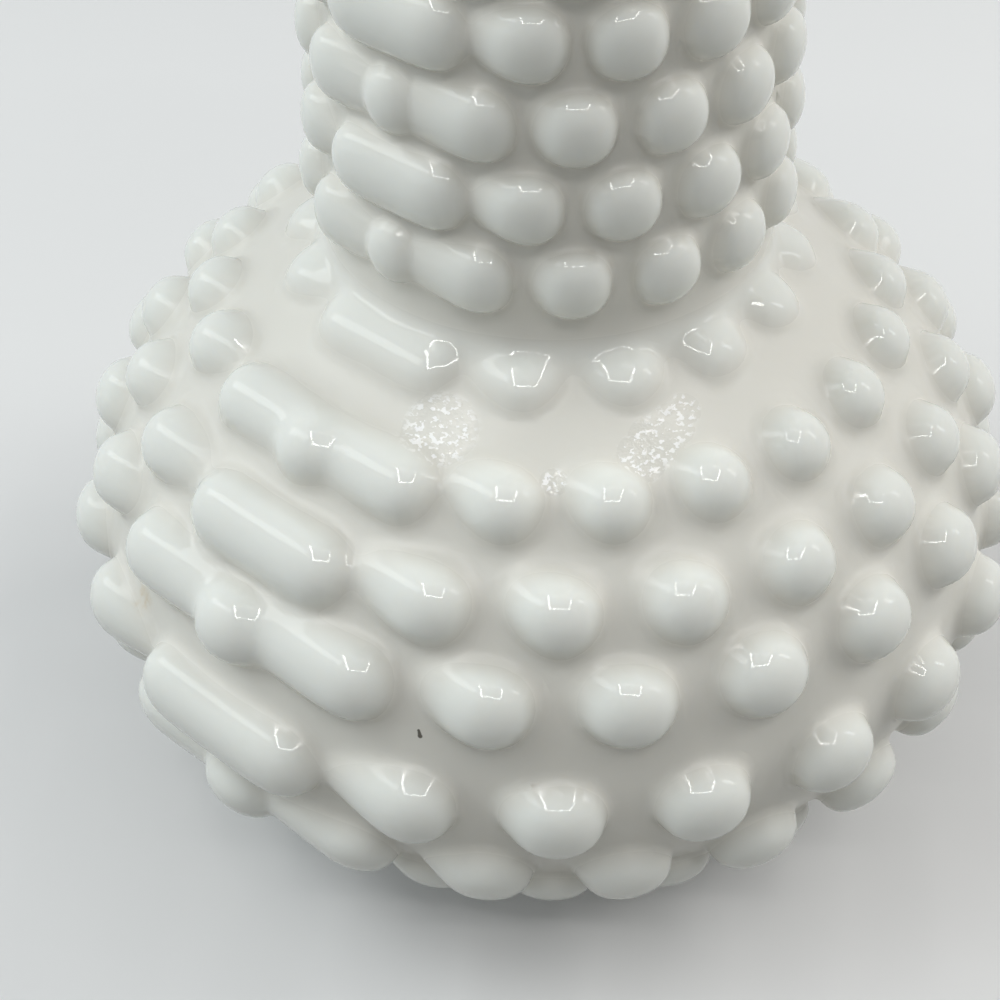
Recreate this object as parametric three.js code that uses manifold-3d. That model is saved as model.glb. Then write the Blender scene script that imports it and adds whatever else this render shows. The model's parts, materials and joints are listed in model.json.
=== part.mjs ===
// Hobnail bud vase in opal glass: a round bowl, a cylindrical neck and a plain turned-out lip.
// Millimetres, +Z up, origin in the middle of the face that the vase stands on.
// The real vase is one piece of glass. Its sections meet face to face at flat, level joints.
// It was blown in a mould of two halves that part on the XZ plane and draw along Y, so every
// hob is smeared back towards that plane for as long as it still stands proud of the wall.

import * as THREE from 'three';
import { ConvexGeometry } from 'three/addons/geometries/ConvexGeometry.js';
import { mergeVertices } from 'three/addons/utils/BufferGeometryUtils.js';
import Module from 'manifold-3d';

const wasm = await Module();
wasm.setup();

// The whole vase, from the face that it stands on to its rim
const vaseHeight = 164.4;

// Foot: a plain pad with a shallow recess under it
const footRadius = 23.4;
const footHeight = 4;
const footBevel = 0.8;
const recessRadius = 17.5;
const recessDepth = 1.2;
const recessSlope = 1.5;

// Bowl: a round that is widest at the belly and flatter below it than above
const bellyRadius = 53.2;
const bellyToCrown = 43.2;
const bellyToBottom = 32.6;
const footMeetAngle = 63;
const bowlWall = 4.5;
const floorThickness = 4;

// Neck, which leaves the bowl in a short concave shoulder
const neckRootRadius = 24.2;
const neckWaistRadius = 21.5;
const neckWall = 4;
const shoulderRise = 4.6;
const shoulderSpread = 1.6;

// Lip, which rises straight before it turns out to a rounded edge
const lipHeight = 12.5;
const lipSpread = 2.6;
const lipEdgeRadius = 1.8;
const lipStraightRise = 6;

// Hobs: round studs, the bowl's narrower and much lower the further they are from the belly.
// The draw of the mould drags each one back until it has sunk this deep under the wall.
const bowlHobRadius = 4.8;
const bowlHobHeight = 4.7;
const neckHobRadius = 3.75;
const neckHobHeight = 3;
const hobRadiusTaper = 0.2;
const hobHeightTaper = 1.1;
const drawDepth = 2.2;

// Rows of hobs, the bowl's as degrees above the belly, unevenly spaced as in the mould.
// Every second row has a hob on each seam, and the rows between stand half a step round.
const hobsRoundBowl = 22;
const hobsRoundNeck = 16;
const bowlRowAngles = [-57, -43.5, -29.5, -14.2, 4, 20.9, 32.8, 45.6];
const collarRowAngle = 59.7;
const neckRows = 9;
const neckRowMargin = 1.3;

// Neighbouring hobs stay apart: none takes more than this share of the way to the next.
// A ridge is a little slimmer than the two hobs that it joins.
const hobReachLimit = 0.47;
const ridgeShare = 0.97;

// How finely the round shapes are faceted
const footSides = 44;
const bowlBands = 8;
const lipSides = 32;
const lipBands = 4;
const kneeAngle = 50;
const ridgeAngles = [-95, -45, 0, 45, 95];
const weldTolerance = 1e-4;

// Levels and angles that follow from the sizes above
const radians = THREE.MathUtils.degToRad;
const footAngle = -radians(footMeetAngle);
const bellyHeight = footHeight - bellyToBottom * Math.sin(footAngle);
const neckRootAngle = Math.acos(neckRootRadius / bellyRadius);
const neckJoint = bowlPoint(neckRootAngle).y + shoulderRise;
const firstNeckRow = neckJoint + neckHobRadius + neckRowMargin;
const lipJoint = vaseHeight - lipHeight;
const lastNeckRow = lipJoint - neckHobRadius - neckRowMargin;
const neckRowPitch = (lastNeckRow - firstNeckRow) / (neckRows - 1);

function bowlRise(angle) {
  return angle > 0 ? bellyToCrown : bellyToBottom;
}

// Point of the bowl's wall, as radius and height, at an angle above the belly and at a depth
// under its outside
function bowlPoint(angle, depth = 0) {
  const radius = (bellyRadius - depth) * Math.cos(angle);
  const height = bellyHeight + (bowlRise(angle) - depth) * Math.sin(angle);
  return new THREE.Vector2(radius, height);
}

function bowlNormal(angle) {
  const normal = new THREE.Vector2(Math.cos(angle) / bellyRadius, Math.sin(angle) / bowlRise(angle));
  return normal.normalize();
}

function neckPoint(height) {
  const share = (height - neckJoint) / (lipJoint - neckJoint);
  const narrowing = (neckRootRadius - neckWaistRadius) * Math.sin((share * Math.PI) / 2);
  return new THREE.Vector2(neckRootRadius - narrowing, height);
}

// Welds a three.js geometry into one closed solid that can be joined and cut
function solidOf(geometry) {
  geometry.deleteAttribute('normal');
  const welded = mergeVertices(geometry, weldTolerance);
  const corners = welded.index.array;
  const triVerts = [];
  for (let i = 0; i < corners.length; i += 3) {
    const [a, b, c] = corners.slice(i, i + 3);
    if (a !== b && b !== c && c !== a) {
      triVerts.push(a, b, c);
    }
  }
  const mesh = new wasm.Mesh({
    numProp: 3,
    vertProperties: Float32Array.from(welded.attributes.position.array),
    triVerts: Uint32Array.from(triVerts),
  });
  return new wasm.Manifold(mesh);
}

// The sideways pull that the draw of the mould gives a hob: straight back towards the parting
// plane, until it has sunk to its depth under the wall or has met the plane
function drawnBack(centre, direction, depth) {
  const sunkRadius = Math.hypot(centre.x, centre.y) - depth;
  const sunkAt = Math.sqrt(Math.max(0, sunkRadius ** 2 - centre.x ** 2));
  const travel = Math.max(0, Math.abs(centre.y) - sunkAt);
  const pull = new THREE.Vector3(0, -Math.sign(centre.y) * travel, 0);
  return pull.projectOnPlane(direction);
}

// One level ring of points on a wall, starting on the seam or half a step round from it.
// With a hob size, each point carries a hob that stands along the wall's outward normal.
function wallRing(at, count, { onSeam = true, normal, hobSize } = {}) {
  return Array.from({ length: count }, (_, i) => {
    const turn = ((i + (onSeam ? 0 : 0.5)) / count) * 2 * Math.PI;
    const point = new THREE.Vector3(at.x * Math.cos(turn), at.x * Math.sin(turn), at.y);
    if (!hobSize) {
      return { turn, point };
    }
    const direction = new THREE.Vector3(Math.cos(turn), Math.sin(turn), 0);
    direction.multiplyScalar(normal.x).setZ(normal.y);
    const pull = drawnBack(point, direction, hobSize.depth);
    return { turn, point, hob: { ...hobSize, direction, pull } };
  });
}

// The triangles of a skin over the rings, outside upwards and inside down, last ring to first
function skin(rings) {
  const triangles = [];
  const turnOf = (ring, i) => ring[i % ring.length].turn + 2 * Math.PI * Math.floor(i / ring.length);
  rings.forEach((lower, k) => {
    const upper = rings[(k + 1) % rings.length];
    let i = 0;
    let j = 0;
    while (i < lower.length || j < upper.length) {
      const here = [lower[i % lower.length], upper[j % upper.length]];
      if (i === lower.length || (j < upper.length && turnOf(upper, j + 1) < turnOf(lower, i + 1))) {
        j += 1;
        triangles.push([here[0], upper[j % upper.length], here[1]]);
      } else {
        i += 1;
        triangles.push([here[0], lower[i % lower.length], here[1]]);
      }
    }
  });
  return triangles;
}

// How far a hob spreads on its way to a neighbouring wall point
function hobReach({ point, hob }, neighbour) {
  const way = neighbour.point.clone().sub(point);
  const room = way.length() * hobReachLimit;
  return Math.min(hob.radius + Math.max(0, way.normalize().dot(hob.pull)), room);
}

// Where the hob meets the wall on that way
function hobEdge(corner, neighbour) {
  const way = neighbour.point.clone().sub(corner.point).normalize();
  return corner.point.clone().addScaledVector(way, hobReach(corner, neighbour));
}

// The bend between the hob's side and its top on that way
function hobKnee(corner, neighbour) {
  const { direction, height } = corner.hob;
  const way = neighbour.point.clone().sub(corner.point).projectOnPlane(direction).normalize();
  const spread = hobReach(corner, neighbour) * Math.sin(radians(kneeAngle));
  const rise = height * Math.cos(radians(kneeAngle));
  return corner.point.clone().addScaledVector(way, spread).addScaledVector(direction, rise);
}

// A wall with its hobs standing on it: each hob takes a bite out of the triangles round its
// point and puts its own facets there
function studdedWall(rings) {
  const corners = [];
  for (const triangle of skin(rings)) {
    const flat = [];
    triangle.forEach((corner, k) => {
      if (!corner.hob) {
        flat.push(corner.point);
        return;
      }
      const next = triangle[(k + 1) % 3];
      const previous = triangle[(k + 2) % 3];
      const edges = [hobEdge(corner, previous), hobEdge(corner, next)];
      const knees = [hobKnee(corner, previous), hobKnee(corner, next)];
      const tip = corner.point.clone().addScaledVector(corner.hob.direction, corner.hob.height);
      corners.push(edges[1], edges[0], knees[0], edges[1], knees[0], knees[1], knees[1], knees[0], tip);
      flat.push(...edges);
    });
    for (let k = 2; k < flat.length; k += 1) {
      corners.push(flat[0], flat[k - 1], flat[k]);
    }
  }
  return solidOf(new THREE.BufferGeometry().setFromPoints(corners));
}

// The long ridge that the mould leaves across each seam, between the two hobs beside it
function seamRidges(ring) {
  const beside = ring.filter(({ point }) => Math.abs(point.y) > weldTolerance);
  const nearest = Math.min(...beside.map(({ point }) => Math.abs(point.y)));
  const near = beside.filter(({ point }) => point.y < nearest + weldTolerance && point.y > 0);
  return near.map(({ point, hob }) => {
    const direction = hob.direction.clone().setY(0).normalize();
    const along = new THREE.Vector3(0, 1, 0);
    const across = new THREE.Vector3().crossVectors(direction, along);
    const halfWidth = hob.radius * ridgeShare;
    const height = hob.height * ridgeShare;
    const points = [];
    for (const side of [-1, 1]) {
      const centre = new THREE.Vector3(point.x, side * point.y, point.z);
      for (const angle of ridgeAngles.map(radians)) {
        const edge = centre.clone().addScaledVector(across, halfWidth * Math.sin(angle));
        points.push(edge.addScaledVector(direction, height * Math.cos(angle)));
      }
    }
    return solidOf(new ConvexGeometry(points));
  });
}

function glassOf(rings) {
  const ridges = rings.filter((ring) => ring[0].hob).flatMap(seamRidges);
  return ridges.reduce((glass, ridge) => glass.add(ridge), studdedWall(rings));
}

// A ring of hobs on the bowl. They sink less where the wall leans, but the collar's hobs, which
// stand against the neck, sink as far as the neck's do.
function bowlHobRing(degrees, { count = hobsRoundBowl, onSeam = false, againstNeck = false } = {}) {
  const angle = radians(degrees);
  const normal = bowlNormal(angle);
  const lean = 1 - Math.cos(angle);
  const hobSize = {
    radius: bowlHobRadius * (1 - hobRadiusTaper * lean),
    height: bowlHobHeight * (1 - hobHeightTaper * lean),
    depth: againstNeck ? drawDepth : drawDepth * normal.x ** 2,
  };
  return wallRing(bowlPoint(angle), count, { onSeam, normal, hobSize });
}

function neckHobRing(height, onSeam) {
  const normal = new THREE.Vector2(1, 0);
  const hobSize = { radius: neckHobRadius, height: neckHobHeight, depth: drawDepth };
  return wallRing(neckPoint(height), hobsRoundNeck, { onSeam, normal, hobSize });
}

function foot() {
  return studdedWall([
    wallRing(new THREE.Vector2(0, recessDepth), 1),
    wallRing(new THREE.Vector2(recessRadius, recessDepth), footSides),
    wallRing(new THREE.Vector2(recessRadius + recessSlope, 0), footSides),
    wallRing(new THREE.Vector2(footRadius - footBevel, 0), footSides),
    wallRing(new THREE.Vector2(footRadius, footBevel), footSides),
    wallRing(bowlPoint(footAngle), hobsRoundBowl),
    wallRing(new THREE.Vector2(0, footHeight), 1),
  ]);
}

function bowl() {
  const hobRows = bowlRowAngles.map((angle, row) => bowlHobRing(angle, { onSeam: row % 2 === 1 }));
  const collarRow = bowlHobRing(collarRowAngle, { count: hobsRoundNeck, againstNeck: true });
  const shoulder = new THREE.Vector2(neckRootRadius + shoulderSpread, neckJoint - shoulderRise);

  const boreRadius = neckRootRadius - neckWall;
  const floorHeight = footHeight + floorThickness;
  const floorAngle = Math.asin((floorHeight - bellyHeight) / (bellyToBottom - bowlWall));
  const shoulderAngle = Math.acos((boreRadius + shoulderSpread) / (bellyRadius - bowlWall));
  const inside = [];
  for (let band = 0; band <= bowlBands; band += 1) {
    const angle = THREE.MathUtils.lerp(shoulderAngle, floorAngle, band / bowlBands);
    inside.push(wallRing(bowlPoint(angle, bowlWall), hobsRoundBowl));
  }

  return glassOf([
    wallRing(new THREE.Vector2(0, footHeight), 1),
    wallRing(bowlPoint(footAngle), hobsRoundBowl),
    ...hobRows,
    collarRow,
    wallRing(shoulder, hobsRoundNeck),
    wallRing(neckPoint(neckJoint), hobsRoundNeck, { onSeam: false }),
    wallRing(new THREE.Vector2(boreRadius, neckJoint), hobsRoundNeck, { onSeam: false }),
    ...inside,
    wallRing(new THREE.Vector2(0, floorHeight), 1),
  ]);
}

function neck() {
  const hobRows = [];
  for (let row = 0; row < neckRows; row += 1) {
    hobRows.push(neckHobRing(firstNeckRow + row * neckRowPitch, row % 2 === 0));
  }
  const bore = [lipJoint, (lipJoint + neckJoint) / 2, neckJoint].map((height) => {
    const at = neckPoint(height);
    return wallRing(at.setX(at.x - neckWall), hobsRoundNeck, { onSeam: false });
  });
  return glassOf([
    wallRing(neckPoint(neckJoint), hobsRoundNeck, { onSeam: false }),
    ...hobRows,
    wallRing(neckPoint(lipJoint), hobsRoundNeck, { onSeam: false }),
    ...bore,
  ]);
}

function lip() {
  const root = neckPoint(lipJoint);
  const bore = root.clone().setX(root.x - neckWall);
  const rise = new THREE.Vector2(0, lipStraightRise);
  const edgeHeight = lipJoint + lipHeight - lipEdgeRadius;
  const lipRadius = neckRootRadius + lipSpread;
  const edgeCentre = lipRadius - lipEdgeRadius;
  const outerEdge = new THREE.Vector2(lipRadius, edgeHeight);
  const innerEdge = new THREE.Vector2(edgeCentre - lipEdgeRadius, edgeHeight);
  const outerFlare = new THREE.QuadraticBezierCurve(root, root.clone().add(rise), outerEdge);
  const edge = new THREE.EllipseCurve(edgeCentre, edgeHeight, lipEdgeRadius, lipEdgeRadius, 0, Math.PI);
  const innerFlare = new THREE.QuadraticBezierCurve(innerEdge, bore.clone().add(rise), bore);
  const flare = [
    ...outerFlare.getPoints(lipBands).slice(1),
    ...edge.getPoints(lipBands).slice(1, -1),
    ...innerFlare.getPoints(lipBands).slice(0, -1),
  ];
  return studdedWall([
    wallRing(root, hobsRoundNeck, { onSeam: false }),
    ...flare.map((at) => wallRing(at, lipSides)),
    wallRing(bore, hobsRoundNeck, { onSeam: false }),
  ]);
}

function opalGlass() {
  return new THREE.MeshStandardMaterial({
    color: 0xe6eae6,
    roughness: 0.12,
    metalness: 0,
    flatShading: true,
  });
}

function meshOf(name, glass) {
  const { numProp, vertProperties, triVerts } = glass.getMesh();
  const geometry = new THREE.BufferGeometry();
  geometry.setAttribute('position', new THREE.BufferAttribute(vertProperties, numProp));
  geometry.setIndex(new THREE.BufferAttribute(triVerts, 1));
  const mesh = new THREE.Mesh(geometry, opalGlass());
  mesh.name = name;
  return mesh;
}

const vase = new THREE.Group();
vase.add(meshOf('foot', foot()));
vase.add(meshOf('bowl', bowl()));
vase.add(meshOf('neck', neck()));
vase.add(meshOf('lip', lip()));

export default vase;
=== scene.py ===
import json
import bmesh
import bpy
from math import acos, asin, atan2, cos, hypot, pi, radians, sin, sqrt
from mathutils import Matrix, Vector

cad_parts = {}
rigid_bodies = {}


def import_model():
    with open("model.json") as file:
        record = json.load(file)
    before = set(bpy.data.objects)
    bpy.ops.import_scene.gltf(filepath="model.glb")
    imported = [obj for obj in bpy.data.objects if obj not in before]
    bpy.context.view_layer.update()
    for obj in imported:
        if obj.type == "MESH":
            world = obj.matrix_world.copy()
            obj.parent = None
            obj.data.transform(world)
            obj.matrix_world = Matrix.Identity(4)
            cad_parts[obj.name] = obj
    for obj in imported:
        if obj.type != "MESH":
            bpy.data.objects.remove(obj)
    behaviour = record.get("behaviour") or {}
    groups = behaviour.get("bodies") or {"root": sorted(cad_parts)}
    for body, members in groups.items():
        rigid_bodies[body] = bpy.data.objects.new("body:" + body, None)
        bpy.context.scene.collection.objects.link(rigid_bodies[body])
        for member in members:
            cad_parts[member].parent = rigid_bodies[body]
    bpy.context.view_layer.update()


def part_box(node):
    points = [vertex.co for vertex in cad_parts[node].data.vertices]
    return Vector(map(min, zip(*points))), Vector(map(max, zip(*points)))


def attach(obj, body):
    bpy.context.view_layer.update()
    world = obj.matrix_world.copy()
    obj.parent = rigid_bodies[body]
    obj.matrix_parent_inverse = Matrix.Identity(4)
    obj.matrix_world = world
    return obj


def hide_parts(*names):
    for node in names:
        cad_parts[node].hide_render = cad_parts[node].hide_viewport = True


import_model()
print("frame loaded")

hair = 1e-6  # metres; what is nearer than this counts as touching


def nothingSelected():
    if bpy.context.object and bpy.context.object.mode != "OBJECT":
        bpy.ops.object.mode_set(mode="OBJECT")
    bpy.ops.object.select_all(action="DESELECT")


def pickedAlone(piece):
    nothingSelected()
    piece.select_set(True)
    bpy.context.view_layer.objects.active = piece


def applied(piece, kind, **settings):
    modifier = piece.modifiers.new(kind.lower(), kind)
    for name, value in settings.items():
        setattr(modifier, name, value)
    pickedAlone(piece)
    bpy.ops.object.modifier_apply(modifier=modifier.name)


# Sizes of the glass in metres; the three levels are where the frame's own sections end
vaseForm = {
    "footRadius": 0.0234,
    "footHeight": 0.004,
    "footBevel": 0.0008,
    "recessRadius": 0.0175,
    "recessDepth": 0.0012,
    "recessSlope": 0.0015,
    "bellyRadius": 0.0532,
    "bellyHeight": 0.03305,
    "bellyToCrown": 0.0432,
    "bellyToBottom": 0.0326,
    "bowlWall": 0.0045,
    "floorHeight": 0.008,
    "neckRootRadius": 0.0242,
    "neckWaistRadius": 0.0215,
    "neckWall": 0.004,
    "shoulderSpread": 0.0016,
    "shoulderReach": 2.2,        # spreads from the neck's root to where the bowl begins to turn up
    "shoulderBend": 0.0016,      # how far that turn pulls upwards
    "shoulderRise": 0.002,       # where it ends, above the neck's joint
    "lipRadius": 0.0268,
    "lipEdgeRadius": 0.0018,
    "lipStraightRise": 0.006,
    "neckJoint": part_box("bowl")[1].z,
    "lipJoint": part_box("neck")[1].z,
    "rimHeight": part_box("lip")[1].z,
    "bowlSteps": (44, 36),       # steps of the outline, outside and inside
    "neckSteps": (16, 12),
    "shoulderSteps": 6,
    "lipSteps": 8,
    "spinSteps": 144,
    "mergeWithin": 1e-5,
}


def bowlRise(angle):
    return vaseForm["bellyToCrown"] if angle > 0 else vaseForm["bellyToBottom"]


def bowlPoint(angle, depth=0.0):
    radius = (vaseForm["bellyRadius"] - depth) * cos(angle)
    height = vaseForm["bellyHeight"] + (bowlRise(angle) - depth) * sin(angle)
    return Vector((radius, 0, height))


def bowlOutward(angle):
    across = cos(angle) / vaseForm["bellyRadius"]
    return Vector((across, 0, sin(angle) / bowlRise(angle))).normalized()


def neckPoint(height, depth=0.0):
    share = (height - vaseForm["neckJoint"]) / (vaseForm["lipJoint"] - vaseForm["neckJoint"])
    narrowing = (vaseForm["neckRootRadius"] - vaseForm["neckWaistRadius"]) * sin(share * pi / 2)
    return Vector((vaseForm["neckRootRadius"] - narrowing - depth, 0, height))


def alongBowl(fromAngle, toAngle, depth, steps):
    span = toAngle - fromAngle
    return [bowlPoint(fromAngle + span * i / steps, depth) for i in range(steps + 1)]


def alongNeck(fromHeight, toHeight, depth, steps):
    span = toHeight - fromHeight
    return [neckPoint(fromHeight + span * i / steps, depth) for i in range(1, steps + 1)]


def curvedThrough(start, pull, end, steps):
    points = []
    for i in range(1, steps + 1):
        t = i / steps
        points.append(start * (1 - t) ** 2 + pull * 2 * t * (1 - t) + end * t ** 2)
    return points


def footOutline():
    form = vaseForm
    return [
        Vector((0, 0, form["recessDepth"])),
        Vector((form["recessRadius"], 0, form["recessDepth"])),
        Vector((form["recessRadius"] + form["recessSlope"], 0, 0)),
        Vector((form["footRadius"] - form["footBevel"], 0, 0)),
        Vector((form["footRadius"], 0, form["footBevel"])),
    ]


def outsideOutline():
    form = vaseForm
    footAngle = asin((form["footHeight"] - form["bellyHeight"]) / form["bellyToBottom"])
    shoulderRadius = form["neckRootRadius"] + form["shoulderReach"] * form["shoulderSpread"]
    shoulderAngle = acos(shoulderRadius / form["bellyRadius"])
    outline = alongBowl(footAngle, shoulderAngle, 0.0, form["bowlSteps"][0])
    top = neckPoint(form["neckJoint"] + form["shoulderRise"])
    bend = Vector((top.x, 0, outline[-1].z + form["shoulderBend"]))
    outline += curvedThrough(outline[-1], bend, top, form["shoulderSteps"])
    return outline + alongNeck(top.z, form["lipJoint"], 0.0, form["neckSteps"][0])


def lipOutline():
    form = vaseForm
    edge, steps = form["lipEdgeRadius"], form["lipSteps"]
    edgeHeight = form["rimHeight"] - edge
    edgeMiddle = form["lipRadius"] - edge
    rise = Vector((0, 0, form["lipStraightRise"]))
    outer = neckPoint(form["lipJoint"])
    inner = neckPoint(form["lipJoint"], form["neckWall"])
    outerEdge = Vector((form["lipRadius"], 0, edgeHeight))
    outline = curvedThrough(outer, outer + rise, outerEdge, steps)
    for i in range(1, steps + 1):
        turn = pi * i / steps
        outline.append(Vector((edgeMiddle + edge * cos(turn), 0, edgeHeight + edge * sin(turn))))
    return outline + curvedThrough(outline[-1], inner + rise, inner, steps)


def insideOutline():
    form = vaseForm
    wall = form["bowlWall"]
    boreRadius = form["neckRootRadius"] - form["neckWall"]
    topAngle = acos((boreRadius + form["shoulderSpread"]) / (form["bellyRadius"] - wall))
    floorDrop = form["floorHeight"] - form["bellyHeight"]
    floorAngle = asin(floorDrop / (form["bellyToBottom"] - wall))
    outline = alongNeck(form["lipJoint"], form["neckJoint"], form["neckWall"], form["neckSteps"][1])
    outline += alongBowl(topAngle, floorAngle, wall, form["bowlSteps"][1])
    return outline + [Vector((0, 0, form["floorHeight"]))]


# The outline starts as one point under the foot, is drawn out step by step and then spun
def spunGlass():
    outline = footOutline() + outsideOutline() + lipOutline() + insideOutline()
    nothingSelected()
    bpy.ops.mesh.primitive_plane_add()
    glass = bpy.context.object
    glass.name = "vase"
    bpy.ops.object.mode_set(mode="EDIT")
    bpy.ops.mesh.merge(type="CENTER")
    bpy.ops.transform.translate(value=outline[0])
    for here, there in zip(outline, outline[1:]):
        bpy.ops.mesh.extrude_region_move(TRANSFORM_OT_translate={"value": there - here})
    bpy.ops.mesh.select_all(action="SELECT")
    bpy.ops.mesh.spin(steps=vaseForm["spinSteps"], angle=2 * pi, center=(0, 0, 0), axis=(0, 0, 1))
    bpy.ops.mesh.select_all(action="SELECT")
    bpy.ops.mesh.remove_doubles(threshold=vaseForm["mergeWithin"])
    bpy.ops.mesh.normals_make_consistent(inside=False)
    bpy.ops.object.mode_set(mode="OBJECT")
    print("glass spun,", len(glass.data.polygons), "faces")
    return glass


# A hob's three sizes are half its width round the vase, half its length up the wall, its height
hobForm = {
    "cuts": 3,                   # of the cube that becomes the first hob
    "fullness": 1.01,
    "undersideBelow": -0.01,     # corners lower than this are its underside
    "underside": 0.25,           # share of a full round that stays inside the wall
    "subdivisions": 1,
    "drawDepth": 0.0026,         # how deep the mould's draw sinks a hob under the wall
    "leanAbove": 1,              # a leaning wall takes from that depth, as a power of its lean
    "leanBelow": 2,
    "leastTravel": 0.0003,       # a hob that is drawn less stays round
    "drawnFaces": 1e-4,          # how far a face has to look along the draw to go with it
    "tailTaper": 0.82,           # a drawn tail that doesn't reach the seam is narrower than its hob
    "seamTaper": 0.9,            # so are the tails that meet under a hob on the seam
    "bowlSeamBump": (1, 1, 1.1),         # that hob, against the others of its row
    "neckSeamBump": (0.82, 0.9, 0.84),
    "roundBowl": 22,
    "roundNeck": 16,
    "bowlRows": [                # first the degrees above the belly, then the three sizes
        (-57, 0.0042, 0.0042, 0.0021),
        (-43.5, 0.0049, 0.0046, 0.0029),
        (-29.5, 0.0053, 0.0048, 0.0036),
        (-14.2, 0.0056, 0.0050, 0.0042),
        (4, 0.0056, 0.0050, 0.0047),
        (20.9, 0.0053, 0.00485, 0.0044),
        (32.8, 0.0047, 0.0045, 0.0040),
        (45.6, 0.0043, 0.0043, 0.0037),
    ],
    "collarRow": (60.8, 0.0043, 0.0041, 0.0024),
    "neckRow": (0.0041, 0.0041, 0.0030),
    "neckRows": 9,
    "neckMargin": 0.00505,
}


# One hob at unit size: a round dome with a shallow underside that stays inside the wall
def firstHob():
    nothingSelected()
    bpy.ops.mesh.primitive_cube_add()
    hob = bpy.context.object
    hob.name = "hob"
    bpy.ops.object.mode_set(mode="EDIT")
    bpy.ops.mesh.subdivide(number_cuts=hobForm["cuts"])
    bpy.ops.transform.tosphere(value=1)
    corners = bmesh.from_edit_mesh(hob.data).verts
    size = hobForm["fullness"] / (sum(corner.co.length for corner in corners) / len(corners))
    bpy.ops.transform.resize(value=(size, size, size))
    bpy.ops.mesh.select_all(action="DESELECT")
    bm = bmesh.from_edit_mesh(hob.data)
    for corner in bm.verts:
        corner.select_set(corner.co.z < hobForm["undersideBelow"])
    bm.select_flush_mode()
    bpy.ops.transform.resize(value=(1, 1, hobForm["underside"]))
    bpy.ops.object.mode_set(mode="OBJECT")
    return hob


# How far the mould drags a hob back towards the parting plane before it is under the wall
def drawTravel(centre, drawDepth):
    sunkRadius = hypot(centre.x, centre.y) - drawDepth
    sunkAt = sqrt(max(0.0, sunkRadius ** 2 - centre.x ** 2))
    return max(0.0, abs(centre.y) - sunkAt)


# A copy of the first hob, turned so that its faces meet the draw squarely, and drawn back
def standingHob(first, centre, outward, size, drawDepth, seamTaper):
    hob = first.copy()
    hob.data = first.data.copy()
    bpy.context.scene.collection.objects.link(hob)
    pull = Vector((0, -1 if centre.y >= 0 else 1, 0))
    around = Vector((0, 0, 1)).cross(outward).normalized()
    upwards = outward.cross(around)
    flow = atan2(pull.dot(upwards), pull.dot(around))
    hob.data.transform(Matrix.Rotation(flow, 4, "Z"))
    facing = Matrix((around, upwards, outward)).transposed().to_4x4()
    hob.matrix_world = Matrix.Translation(centre) @ facing @ Matrix.Diagonal((*size, 1))
    travel = drawTravel(centre, drawDepth)
    if travel < hobForm["leastTravel"]:
        return hob
    pickedAlone(hob)
    localPull = hob.matrix_world.to_3x3().inverted() @ pull
    bpy.ops.object.mode_set(mode="EDIT")
    bm = bmesh.from_edit_mesh(hob.data)
    for face in bm.faces:
        face.select_set(face.normal.dot(localPull) > hobForm["drawnFaces"])
    bpy.ops.mesh.extrude_region_move(TRANSFORM_OT_translate={"value": pull * travel})
    taper = hobForm["tailTaper"] if travel < abs(centre.y) - hair else seamTaper
    bpy.ops.transform.resize(value=(taper, taper, taper))
    bpy.ops.object.mode_set(mode="OBJECT")
    return hob


# A row with a hob on each seam, or one that stands half a step round
def hobRow(first, at, outwardAt, count, onSeam, size, seamBump, drawDepth):
    row = []
    seamTaper = hobForm["seamTaper"] if onSeam else 1.0
    seamSize = [length * share for length, share in zip(size, seamBump)]
    for i in range(count):
        turn = Matrix.Rotation((i if onSeam else i + 0.5) * 2 * pi / count, 3, "Z")
        centre, outward, ownSize = turn @ at, turn @ outwardAt, size
        if abs(centre.y) < hair:
            centre.y, ownSize = 0.0, seamSize
        row.append(standingHob(first, centre, outward, ownSize, drawDepth, seamTaper))
    return row


def bowlHobs(first):
    hobs = []
    for row, (degrees, *size) in enumerate(hobForm["bowlRows"]):
        angle = radians(degrees)
        outward = bowlOutward(angle)
        lean = outward.x ** (hobForm["leanAbove"] if angle > 0 else hobForm["leanBelow"])
        hobs += hobRow(first, bowlPoint(angle), outward, hobForm["roundBowl"], row % 2 == 1,
                       size, hobForm["bowlSeamBump"], hobForm["drawDepth"] * lean)
    degrees, *size = hobForm["collarRow"]
    angle = radians(degrees)
    return hobs + hobRow(first, bowlPoint(angle), bowlOutward(angle), hobForm["roundNeck"], False,
                         size, hobForm["neckSeamBump"], hobForm["drawDepth"])


def neckHobs(first):
    hobs = []
    firstRow = vaseForm["neckJoint"] + hobForm["neckMargin"]
    lastRow = vaseForm["lipJoint"] - hobForm["neckMargin"]
    for row in range(hobForm["neckRows"]):
        at = neckPoint(firstRow + (lastRow - firstRow) * row / (hobForm["neckRows"] - 1))
        hobs += hobRow(first, at, Vector((1, 0, 0)), hobForm["roundNeck"], row % 2 == 0,
                       hobForm["neckRow"], hobForm["neckSeamBump"], hobForm["drawDepth"])
    return hobs


def allHobs():
    first = firstHob()
    hobs = bowlHobs(first) + neckHobs(first)
    bpy.data.objects.remove(first)
    nothingSelected()
    for hob in hobs:
        hob.select_set(True)
    bpy.context.view_layer.objects.active = hobs[0]
    bpy.ops.object.join()
    joined = bpy.context.object
    bpy.ops.object.transform_apply(location=True, rotation=True, scale=True)
    levels = hobForm["subdivisions"]
    applied(joined, "SUBSURF", levels=levels, render_levels=levels)
    print(len(hobs), "hobs,", len(joined.data.polygons), "faces")
    return joined


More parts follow.
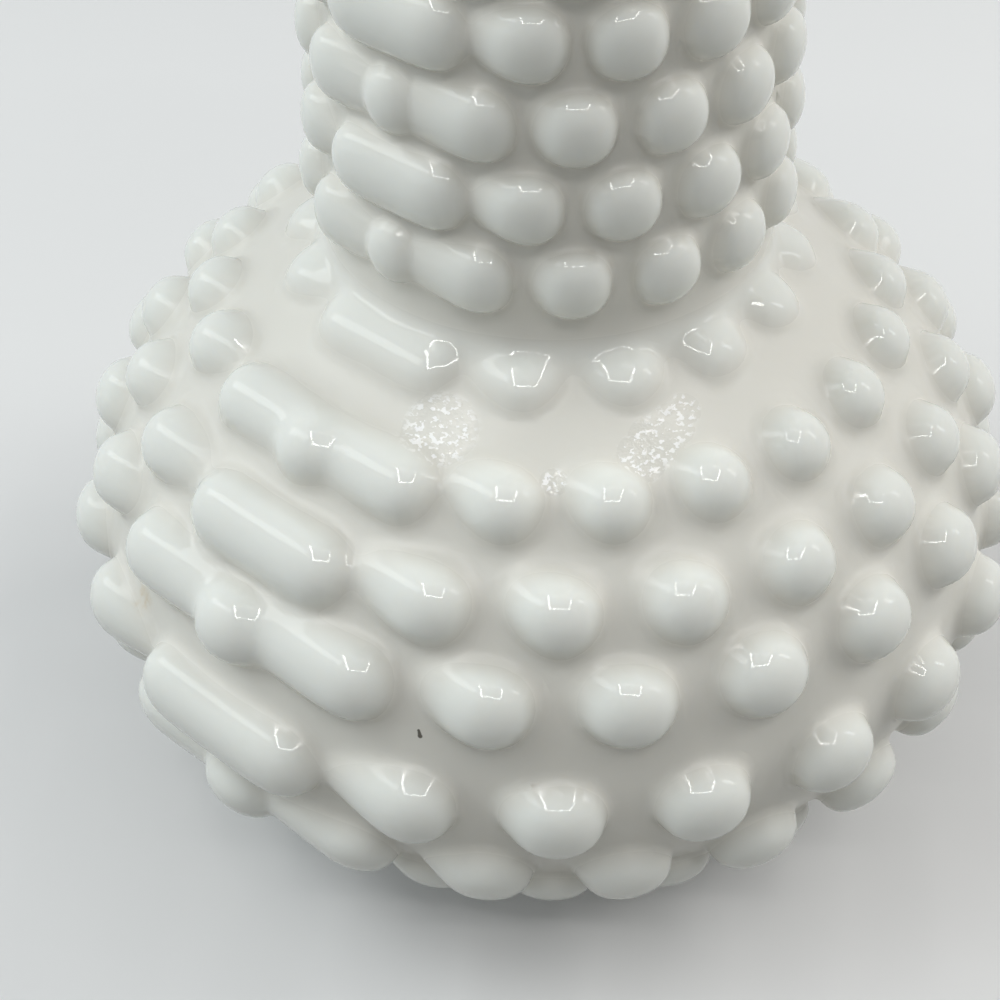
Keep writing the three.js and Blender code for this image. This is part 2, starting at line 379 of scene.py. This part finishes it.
# The hobs and the spun glass are melted into one skin
meltForm = {
    "grain": 0.00047,
    "softness": 0.5,
    "softening": 5,
    "shoulderFrom": 0.0260,      # between these levels the hobs sink softly into the shoulder
    "shoulderFull": 0.0540,
    "shoulderFades": 0.0680,
    "shoulderTo": 0.0765,
    "shoulderSoftening": 50,
    "faces": 186000,
}


def shoulderWeight(height):
    form = meltForm
    rising = (height - form["shoulderFrom"]) / (form["shoulderFull"] - form["shoulderFrom"])
    falling = (form["shoulderTo"] - height) / (form["shoulderTo"] - form["shoulderFades"])
    return max(0.0, min(1.0, rising, falling))


def softShoulder(glass):
    group = glass.vertex_groups.new(name="shoulder")
    for corner in glass.data.vertices:
        weight = shoulderWeight(corner.co.z)
        if weight > 0:
            group.add([corner.index], weight, "REPLACE")
    applied(glass, "SMOOTH", factor=meltForm["softness"],
            iterations=meltForm["shoulderSoftening"], vertex_group=group.name)
    glass.vertex_groups.clear()


# Thinning can leave single faces behind, so all that isn't joined to the rim goes
def onlyTheShell(glass):
    pickedAlone(glass)
    bpy.ops.object.mode_set(mode="EDIT")
    bpy.ops.mesh.select_mode(type="VERT")
    bpy.ops.mesh.select_all(action="DESELECT")
    rim = max(bmesh.from_edit_mesh(glass.data).verts, key=lambda corner: corner.co.z)
    rim.select_set(True)
    bpy.ops.mesh.select_linked()
    bpy.ops.mesh.select_all(action="INVERT")
    bpy.ops.mesh.delete(type="VERT")
    bpy.ops.object.mode_set(mode="OBJECT")


def meltedVase():
    glass = spunGlass()
    hobs = allHobs()
    pickedAlone(glass)
    hobs.select_set(True)
    bpy.ops.object.join()
    applied(glass, "REMESH", mode="VOXEL", voxel_size=meltForm["grain"])
    print("melted,", len(glass.data.polygons), "faces")
    applied(glass, "SMOOTH", factor=meltForm["softness"], iterations=meltForm["softening"])
    softShoulder(glass)
    triangles = 2 * len(glass.data.polygons)
    applied(glass, "DECIMATE", ratio=min(1.0, meltForm["faces"] / triangles))
    onlyTheShell(glass)
    bpy.ops.object.shade_smooth()
    print("vase,", len(glass.data.polygons), "faces")
    return glass


# A grain is a noise's scale and detail, and each pair after it says what becomes of the noise;
# the painted valley shade's and the dull skin's pairs are metres off the smooth wall
opalFinish = {
    "hobWhite": (0.80, 0.825, 0.79, 1),
    "cloudWhite": (0.83, 0.84, 0.80, 1),
    "cloudGrain": (55.0, 3.0),
    # painted shade: the wall between the hobs is coloured darker and warmer, as if shaded there
    "paintedValleyShade": (0.745, 0.735, 0.682, 1),     # warmer between the hobs
    "valleyShadeBetween": (0.0002, 0.0026),
    "bowlScale": 0.045,                          # turns the bowl's roundness into metres
    "neckBlend": (0.0045, 0.0005),               # below the neck's joint
    "polishGrain": (90.0, 3.0),
    "polishBetween": (0.3, 0.7),
    "polish": (0.045, 0.085),
    "dullBetween": (0.0003, 0.0015),
    "dullness": 0.26,
    "paintedGlintWhite": (1.0, 1.0, 0.985, 1),
    "speckColour": (0.10, 0.09, 0.07, 1),
    "stainColour": (0.60, 0.50, 0.34, 1),
    "dirtGrain": (900.0, 3.0),
    "dirtBetween": (0.38, 0.66),
    "dirtShare": (0.15, 0.7),
    "refraction": 1.52,
    "milkiness": 0.3,
    "milkColours": (1.0, 0.92, 0.8),
    "milkDepth": 0.0025,
}

# Heights are metres; the crinkles' grain also has the noise's roughness
skinForm = {
    "waveGrain": (260.0, 1.0),
    "waveHeight": 0.000024,
    "rippleGrain": (800.0, 1.0),
    "rippleHeight": 0.000007,
    "crinkleGrain": (1500.0, 2.0, 0.55),
    "crinkleStretch": (1.0, 1.0, 2.2),
    "crinkleHeight": 0.0001,
    # painted glints: where the crinkle noise lies between these, the colour is painted white
    "paintedGlintBetween": (0.53, 0.59),
}

# Marks on the glass: how much of each is solid before it fades, then its places and their reach
opalMarks = {
    "crinkles": {"solid": 0.55, "places": [
        ((-0.0300, -0.0108, 0.0675), 0.0046),
        ((-0.0124, -0.0280, 0.0684), 0.0020),
        ((-0.0146, -0.0281, 0.0677), 0.0027),
        ((-0.0170, -0.0280, 0.0671), 0.0033),
        ((-0.0192, -0.0279, 0.0664), 0.0030),
        ((-0.0269, -0.0230, 0.0656), 0.0016),
    ]},
    "specks": {"solid": 0.6, "places": [
        ((-0.04629, -0.02180, 0.04474), 0.00019),
        ((-0.04634, -0.02190, 0.04456), 0.00022),
        ((-0.04638, -0.02198, 0.04437), 0.00025),
        ((-0.04641, -0.02206, 0.04416), 0.00031),
    ]},
    "stains": {"solid": 0.1, "places": [
        ((-0.0497, 0.0167, 0.0408), 0.0024),
        ((-0.0492, 0.0155, 0.0388), 0.0016),
    ]},
}


def maths(tree, operation, *values):
    node = tree.nodes.new("ShaderNodeMath")
    node.operation = operation
    for socket, value in zip(node.inputs, values):
        if isinstance(value, (int, float)):
            socket.default_value = value
        else:
            tree.links.new(value, socket)
    return node.outputs[0]


def ranged(tree, value, fromRange, toRange, smooth=True):
    node = tree.nodes.new("ShaderNodeMapRange")
    node.interpolation_type = "SMOOTHSTEP" if smooth else "LINEAR"
    tree.links.new(value, node.inputs["Value"])
    for name, level in zip(("From Min", "From Max", "To Min", "To Max"), (*fromRange, *toRange)):
        node.inputs[name].default_value = level
    return node.outputs["Result"]


def noised(tree, place, scale, detail, roughness=0.5):
    node = tree.nodes.new("ShaderNodeTexNoise")
    tree.links.new(place, node.inputs["Vector"])
    node.inputs["Scale"].default_value = scale
    node.inputs["Detail"].default_value = detail
    node.inputs["Roughness"].default_value = roughness
    return node.outputs["Fac"]


def mixedColour(tree, share, first, second):
    node = tree.nodes.new("ShaderNodeMix")
    node.data_type = "RGBA"
    tree.links.new(share, node.inputs["Factor"])
    colourA, colourB, mixed = node.inputs[6], node.inputs[7], node.outputs[2]
    for socket, value in ((colourA, first), (colourB, second)):
        if isinstance(value, tuple):
            socket.default_value = value
        else:
            tree.links.new(value, socket)
    return mixed


# One at the middle of any mark of this kind, nought outside them
def nearMarks(tree, place, kind):
    marks = opalMarks[kind]
    near = 0.0
    for at, reach in marks["places"]:
        away = tree.nodes.new("ShaderNodeVectorMath")
        away.operation = "DISTANCE"
        tree.links.new(place, away.inputs[0])
        away.inputs[1].default_value = at
        fading = (marks["solid"] * reach, reach)
        near = maths(tree, "MAXIMUM", ranged(tree, away.outputs["Value"], fading, (1.0, 0.0)), near)
    return near


def newGroup(name, outputs):
    tree = bpy.data.node_groups.new(name, "ShaderNodeTree")
    tree.interface.new_socket(name="Place", in_out="INPUT", socket_type="NodeSocketVector")
    for output in outputs:
        tree.interface.new_socket(name=output, in_out="OUTPUT", socket_type="NodeSocketFloat")
    place = tree.nodes.new("NodeGroupInput").outputs["Place"]
    return tree, place, tree.nodes.new("NodeGroupOutput").inputs


def placedGroup(tree, group, place):
    node = tree.nodes.new("ShaderNodeGroup")
    node.node_tree = group
    tree.links.new(place, node.inputs["Place"])
    return node.outputs


# Metres from the smooth wall out to a place on the glass, on the bowl and on the neck
def offTheWall(tree, place):
    form = vaseForm
    split = tree.nodes.new("ShaderNodeSeparateXYZ")
    tree.links.new(place, split.inputs[0])
    x, y, z = split.outputs
    xSquare = maths(tree, "MULTIPLY", x, x)
    ySquare = maths(tree, "MULTIPLY", y, y)
    radius = maths(tree, "SQRT", maths(tree, "ADD", xSquare, ySquare))

    aboveBelly = maths(tree, "SUBTRACT", z, form["bellyHeight"])
    isUpper = maths(tree, "GREATER_THAN", aboveBelly, 0.0)
    extraRise = form["bellyToCrown"] - form["bellyToBottom"]
    rise = maths(tree, "MULTIPLY_ADD", isUpper, extraRise, form["bellyToBottom"])
    across = maths(tree, "POWER", maths(tree, "DIVIDE", radius, form["bellyRadius"]), 2.0)
    upShare = maths(tree, "ABSOLUTE", maths(tree, "DIVIDE", aboveBelly, rise))
    upwards = maths(tree, "POWER", upShare, 2.0)
    roundness = maths(tree, "SQRT", maths(tree, "ADD", across, upwards))
    outside = maths(tree, "SUBTRACT", roundness, 1.0)
    offBowl = maths(tree, "MULTIPLY", outside, opalFinish["bowlScale"])

    joints = (form["neckJoint"], form["lipJoint"])
    climb = maths(tree, "SINE", ranged(tree, z, joints, (0.0, pi / 2), smooth=False))
    narrowing = maths(tree, "MULTIPLY", climb, form["neckRootRadius"] - form["neckWaistRadius"])
    neckRadius = maths(tree, "SUBTRACT", form["neckRootRadius"], narrowing)
    offNeck = maths(tree, "SUBTRACT", radius, neckRadius)
    blend = [form["neckJoint"] - below for below in opalFinish["neckBlend"]]
    onNeck = ranged(tree, z, blend, (0.0, 1.0))
    return maths(tree, "MULTIPLY_ADD", onNeck, maths(tree, "SUBTRACT", offNeck, offBowl), offBowl)


# Masks: the wall between the hobs, where shade is painted into the colour, where the gloss is
# duller, the dark speck and the faint stain
def glassPlaces():
    tree, place, out = newGroup("glassPlaces", ["Valley", "Dull", "Speck", "Stain"])
    off = offTheWall(tree, place)
    # Painted shade: this mask darkens and warms the colour on the wall between the hobs
    tree.links.new(ranged(tree, off, opalFinish["valleyShadeBetween"], (1.0, 0.0)), out["Valley"])
    tree.links.new(ranged(tree, off, opalFinish["dullBetween"], (1.0, 0.0)), out["Dull"])
    tree.links.new(nearMarks(tree, place, "specks"), out["Speck"])
    grain = noised(tree, place, *opalFinish["dirtGrain"])
    dirt = ranged(tree, grain, opalFinish["dirtBetween"], opalFinish["dirtShare"])
    stain = nearMarks(tree, place, "stains")
    tree.links.new(maths(tree, "MULTIPLY", stain, dirt), out["Stain"])
    return tree


# The skin's height in metres: a slow waviness all over, and the finely crinkled places
def glassSkin():
    tree, place, out = newGroup("glassSkin", ["Height", "PaintedGlint", "Crinkled"])
    slow = noised(tree, place, *skinForm["waveGrain"])
    slow = maths(tree, "MULTIPLY", slow, skinForm["waveHeight"])
    ripple = noised(tree, place, *skinForm["rippleGrain"])
    ripple = maths(tree, "MULTIPLY", ripple, skinForm["rippleHeight"])
    stretched = tree.nodes.new("ShaderNodeVectorMath")
    stretched.operation = "MULTIPLY"
    tree.links.new(place, stretched.inputs[0])
    stretched.inputs[1].default_value = skinForm["crinkleStretch"]
    fine = noised(tree, stretched.outputs["Vector"], *skinForm["crinkleGrain"])
    crinkled = nearMarks(tree, place, "crinkles")
    crinkle = maths(tree, "MULTIPLY", fine, crinkled)
    crinkle = maths(tree, "MULTIPLY", crinkle, skinForm["crinkleHeight"])
    tree.links.new(maths(tree, "ADD", maths(tree, "ADD", slow, ripple), crinkle), out["Height"])
    # Painted glints: white flecks painted into the colour where the crinkle noise is high
    glintShare = ranged(tree, fine, skinForm["paintedGlintBetween"], (0.0, 1.0))
    tree.links.new(maths(tree, "MULTIPLY", glintShare, crinkled), out["PaintedGlint"])
    tree.links.new(crinkled, out["Crinkled"])
    return tree


def opalColour(tree, place, places, skin):
    clouds = noised(tree, place, *opalFinish["cloudGrain"])
    colour = mixedColour(tree, clouds, opalFinish["hobWhite"], opalFinish["cloudWhite"])
    # Painted shade: a darker, warmer colour on the wall between the hobs
    colour = mixedColour(tree, places["Valley"], colour, opalFinish["paintedValleyShade"])
    # Painted glints: white flecks painted into the colour on the crinkled places
    colour = mixedColour(tree, skin["PaintedGlint"], colour, opalFinish["paintedGlintWhite"])
    colour = mixedColour(tree, places["Stain"], colour, opalFinish["stainColour"])
    return mixedColour(tree, places["Speck"], colour, opalFinish["speckColour"])


# Polished all over, duller between the hobs, and bright again where it is crinkled
def opalRoughness(tree, place, places, skin):
    grain = noised(tree, place, *opalFinish["polishGrain"])
    polish = ranged(tree, grain, opalFinish["polishBetween"], opalFinish["polish"])
    smoothed = maths(tree, "SUBTRACT", 1.0, skin["Crinkled"])
    dull = maths(tree, "MULTIPLY", places["Dull"], smoothed)
    return maths(tree, "ADD", polish, maths(tree, "MULTIPLY", dull, opalFinish["dullness"]))


def opalGlass():
    material = bpy.data.materials.new("opal_glass")
    material.use_nodes = True
    tree = material.node_tree
    place = tree.nodes.new("ShaderNodeTexCoord").outputs["Object"]
    places = placedGroup(tree, glassPlaces(), place)
    skin = placedGroup(tree, glassSkin(), place)

    shader = tree.nodes["Principled BSDF"].inputs
    tree.links.new(opalColour(tree, place, places, skin), shader["Base Color"])
    tree.links.new(opalRoughness(tree, place, places, skin), shader["Roughness"])
    shader["IOR"].default_value = opalFinish["refraction"]
    shader["Subsurface Weight"].default_value = opalFinish["milkiness"]
    shader["Subsurface Radius"].default_value = opalFinish["milkColours"]
    shader["Subsurface Scale"].default_value = opalFinish["milkDepth"]
    bump = tree.nodes.new("ShaderNodeBump")
    bump.inputs["Strength"].default_value = 1.0
    bump.inputs["Distance"].default_value = 1.0      # the heights are metres already
    tree.links.new(skin["Height"], bump.inputs["Height"])
    tree.links.new(bump.outputs["Normal"], shader["Normal"])
    return material


vase = meltedVase()
vase.data.materials.clear()
vase.data.materials.append(opalGlass())
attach(vase, "root")
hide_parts("foot", "bowl", "neck", "lip")
print("vase dressed")


# What shows of the floor and the sky is pale, and what they shine on the vase is less
studio = {
    "floorSize": 9.0,
    "floorShown": (0.80, 0.803, 0.806, 1),
    "floorBounce": (0.31, 0.305, 0.29, 1),
    "floorRoughness": 0.9,
    "floorGloss": 0.1,
    "floorFades": (0.34, 0.95),      # metres from the vase, into the sky behind
    "skyShown": (0.80, 0.805, 0.81, 1),
    "skyLight": (0.95, 0.98, 1.0, 1),
    "skyStrength": 0.21,
}


# One where the eye, a reflection or a view through glass meets it, nought for light that bounces
def seenDirectly(tree):
    path = tree.nodes.new("ShaderNodeLightPath").outputs
    seen = maths(tree, "MAXIMUM", path["Is Camera Ray"], path["Is Glossy Ray"])
    return maths(tree, "MAXIMUM", seen, path["Is Transmission Ray"])


def mixedShader(tree, share, first, second, output):
    mix = tree.nodes.new("ShaderNodeMixShader")
    tree.links.new(share, mix.inputs["Fac"])
    tree.links.new(first, mix.inputs[1])
    tree.links.new(second, mix.inputs[2])
    tree.links.new(mix.outputs["Shader"], tree.nodes[output].inputs["Surface"])


def paleFloor():
    nothingSelected()
    bpy.ops.mesh.primitive_plane_add(size=studio["floorSize"])
    floor = bpy.context.object
    floor.name = "floor"
    material = bpy.data.materials.new("floorPaper")
    material.use_nodes = True
    tree = material.node_tree
    shader = tree.nodes["Principled BSDF"]
    colour = mixedColour(tree, seenDirectly(tree), studio["floorBounce"], studio["floorShown"])
    tree.links.new(colour, shader.inputs["Base Color"])
    shader.inputs["Roughness"].default_value = studio["floorRoughness"]
    shader.inputs["Specular IOR Level"].default_value = studio["floorGloss"]
    away = tree.nodes.new("ShaderNodeVectorMath")
    away.operation = "LENGTH"
    tree.links.new(tree.nodes.new("ShaderNodeTexCoord").outputs["Object"], away.inputs[0])
    far = ranged(tree, away.outputs["Value"], studio["floorFades"], (0.0, 1.0))
    sky = tree.nodes.new("ShaderNodeEmission")
    sky.inputs["Color"].default_value = studio["skyShown"]
    share = maths(tree, "MULTIPLY", far, seenDirectly(tree))
    mixedShader(tree, share, shader.outputs["BSDF"], sky.outputs["Emission"], "Material Output")
    floor.data.materials.append(material)


def paleSky():
    world = bpy.data.worlds.new("sky")
    bpy.context.scene.world = world
    world.use_nodes = True
    tree = world.node_tree
    light = tree.nodes["Background"]
    light.inputs["Color"].default_value = studio["skyLight"]
    light.inputs["Strength"].default_value = studio["skyStrength"]
    shown = tree.nodes.new("ShaderNodeBackground")
    shown.inputs["Color"].default_value = studio["skyShown"]
    mixedShader(tree, seenDirectly(tree), light.outputs["Background"],
                shown.outputs["Background"], "World Output")


# A lamp that shines from a flat rectangle, as bright as its radiance at any size
def areaLamp(name, at, facing, size, radiance, colour, mirrored=True):
    width, depth = size
    bpy.ops.object.light_add(type="AREA")
    lamp = bpy.context.object
    lamp.name = name
    lamp.matrix_world = Matrix.Translation(at) @ facing.to_4x4()
    lamp.data.shape = "RECTANGLE"
    lamp.data.size, lamp.data.size_y = width, depth
    lamp.data.energy = radiance * width * depth * pi
    lamp.data.color = colour
    lamp.visible_glossy = mirrored


ceiling = {
    "middle": Vector((-0.114, -0.170, 0.691)),
    "halfAcross": 0.264,
    "halfBack": 0.207,
    "turn": radians(-53.7),
    "stripWidth": 0.030,
    "radiance": 14.0,
    "farRadiance": 2.2,      # the far strip is much dimmer, so the frames look open at one side
    "colour": (1.0, 0.985, 0.96),
}


# Four strip lamps in a square overhead, which the hobs show as small bright frames
def stripSquare():
    turn = Matrix.Rotation(ceiling["turn"], 3, "Z")
    quarter = Matrix.Rotation(pi / 2, 3, "Z")
    wide, deep, strip = ceiling["halfAcross"], ceiling["halfBack"], ceiling["stripWidth"]
    for side in (-1, 1):
        radiance = ceiling["farRadiance"] if side == 1 else ceiling["radiance"]
        at = ceiling["middle"] + turn @ Vector((0, side * deep, 0))
        areaLamp("stripAlong", at, turn, (2 * wide + strip, strip), radiance, ceiling["colour"])
        at = ceiling["middle"] + turn @ Vector((side * wide, 0, 0))
        areaLamp("stripAcross", at, turn @ quarter, (2 * deep + strip, strip),
                 ceiling["radiance"], ceiling["colour"])


# Soft light from both sides: wide fills that the gloss doesn't show, thin windows that it does
sideLights = [
    {"name": "leftFill", "at": (-0.45, 0.64, 0.50), "along": (0, 1, 0), "size": (0.9, 0.9),
     "radiance": 1.75, "colour": (0.92, 0.985, 1.0), "mirrored": False},
    {"name": "leftWindow", "at": (-0.34, 0.52, 0.66), "along": (0, 1, 0), "size": (0.88, 0.21),
     "radiance": 1.75, "colour": (0.94, 0.99, 1.0), "mirrored": True},
    {"name": "rightFill", "at": (0.54, -0.36, 0.42), "along": (0, 0, 1), "size": (0.6, 0.6),
     "radiance": 2.55, "colour": (1.0, 0.99, 0.96), "mirrored": False},
    {"name": "rightWindow", "at": (0.46, -0.48, 0.52), "along": (0, 0, 1), "size": (0.34, 0.09),
     "radiance": 2.6, "colour": (0.97, 0.99, 1.0), "mirrored": True},
]
litMiddle = Vector((0, 0, 0.05))     # what they are turned to


def windowLight():
    for light in sideLights:
        at = Vector(light["at"])
        back = (at - litMiddle).normalized()
        along = Vector(light["along"])
        along = (along - back * along.dot(back)).normalized()
        facing = Matrix((along, back.cross(along), back)).transposed()
        areaLamp(light["name"], at, facing, light["size"], light["radiance"], light["colour"],
                 light["mirrored"])


# The camera of the photo, fitted to the rows of hobs
photoView = {
    "at": Vector((-0.1261, -0.1019, 0.1789)),
    "towards": Vector((0.5582, 0.4834, -0.6743)),
    "roll": radians(-0.39),
    "lens": 62.42,
    "sensor": 36,
    "nearest": 0.01,
}


def photoCamera():
    bpy.ops.object.camera_add()
    camera = bpy.context.object
    camera.data.lens = photoView["lens"]
    camera.data.sensor_width = photoView["sensor"]
    camera.data.clip_start = photoView["nearest"]
    roll = Matrix.Rotation(photoView["roll"], 3, "Z")
    facing = photoView["towards"].to_track_quat("-Z", "Y").to_matrix() @ roll
    camera.matrix_world = Matrix.Translation(photoView["at"]) @ facing.to_4x4()
    bpy.context.scene.camera = camera


paleFloor()
paleSky()
stripSquare()
windowLight()
photoCamera()
bpy.context.scene.view_settings.view_transform = "Standard"
print("studio set")

bpy.context.view_layer.update()
